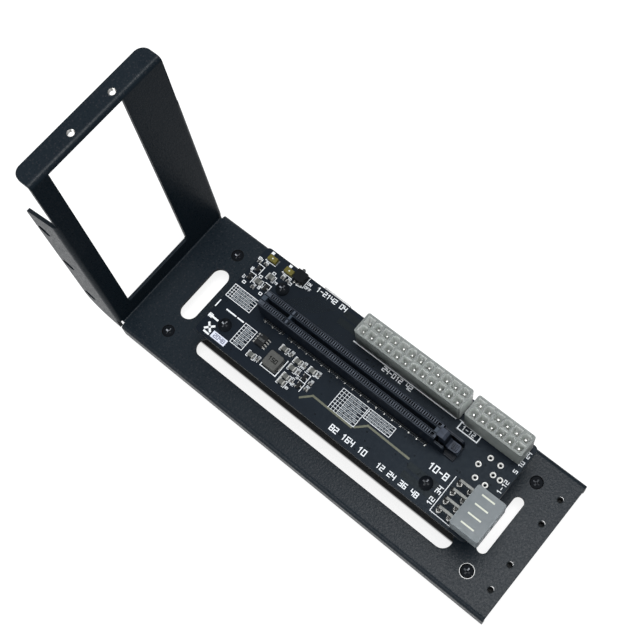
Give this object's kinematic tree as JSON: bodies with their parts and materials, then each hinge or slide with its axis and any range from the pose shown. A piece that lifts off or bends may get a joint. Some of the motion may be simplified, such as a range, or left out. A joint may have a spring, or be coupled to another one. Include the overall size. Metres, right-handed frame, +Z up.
{
  "type": "egpu dock",
  "caption": "Open dock for an upright graphics card: folded steel base with windowed upright, raised circuit board, card slot with latch, power headers and link receptacle.",
  "frame": {"origin": "middle of the bounding box at table level, under the feet", "axes": "+X from the upright to the free end, +Y across the plate towards the power inlets, +Z up"},
  "size_m": [0.2124, 0.0676, 0.1325],
  "materials": {
    "black_paint": "fine-textured powder coat",
    "foot_rubber": "matt moulded rubber",
    "insert_brass": "turned",
    "black_screw": "black oxide",
    "spacer_nickel": "nickel plated",
    "board_mask": "semi-gloss solder mask",
    "slot_plastic": "moulded",
    "latch_plastic": "moulded",
    "contact_tin": "tin plated",
    "header_nylon": "natural nylon, slightly translucent",
    "outlet_nylon": "natural nylon, slightly translucent",
    "pin_tin": "tin plated",
    "shell_steel": "stamped",
    "core_plastic": "moulded",
    "contact_gold": "gold flash",
    "chip_plastic": "moulded epoxy",
    "lead_tin": "tin plated",
    "inductor_powder": "pressed iron powder",
    "capacitor_ceramic": "fired",
    "resistor_ceramic": "glazed",
    "tantalum_yellow": "moulded epoxy",
    "switch_plastic": "moulded",
    "slider_plastic": "moulded"
  },
  "bodies": {
    "dock": {"chassis": "black_paint", "foot_near_front": "foot_rubber", "foot_near_back": "foot_rubber", "foot_far_front": "foot_rubber", "foot_far_back": "foot_rubber", "foot_inserts": "insert_brass", "foot_screws": "black_screw", "standoffs": "spacer_nickel", "standoff_screws": "black_screw", "board_screws": "black_screw", "circuit_board": "board_mask", "slot_housing": "slot_plastic", "slot_contacts": "contact_tin", "main_power_header": "header_nylon", "main_power_pins": "pin_tin", "aux_power_header": "header_nylon", "aux_power_pins": "pin_tin", "outlet_housing": "outlet_nylon", "outlet_pins": "pin_tin", "link_shell": "shell_steel", "link_core": "core_plastic", "link_contacts": "contact_gold", "regulator_body": "chip_plastic", "regulator_leads": "lead_tin", "inductor": "inductor_powder", "inductor_terminals": "lead_tin", "capacitor_bodies": "capacitor_ceramic", "capacitor_caps": "lead_tin", "resistor_bodies": "resistor_ceramic", "resistor_caps": "lead_tin", "tantalum_1": "tantalum_yellow", "tantalum_2": "tantalum_yellow", "tantalum_terminals": "lead_tin", "transistor_bodies": "chip_plastic", "transistor_leads": "lead_tin", "switch_body": "switch_plastic", "switch_legs": "lead_tin"},
    "latch": {"slot_latch": "latch_plastic"},
    "slider": {"switch_slider": "slider_plastic"}
  },
  "joints": [
    {"name": "latch_hinge", "type": "hinge", "parent": "dock", "child": "latch", "pos_m": [0.0562, 0.0073, 0.0357], "axis": [0, 1, 0], "range_deg": [0, 22]},
    {"name": "switch_slide", "type": "slide", "parent": "dock", "child": "slider", "axis": [1, 0, 0], "range_m": [0, 0.0015]}
  ]
}
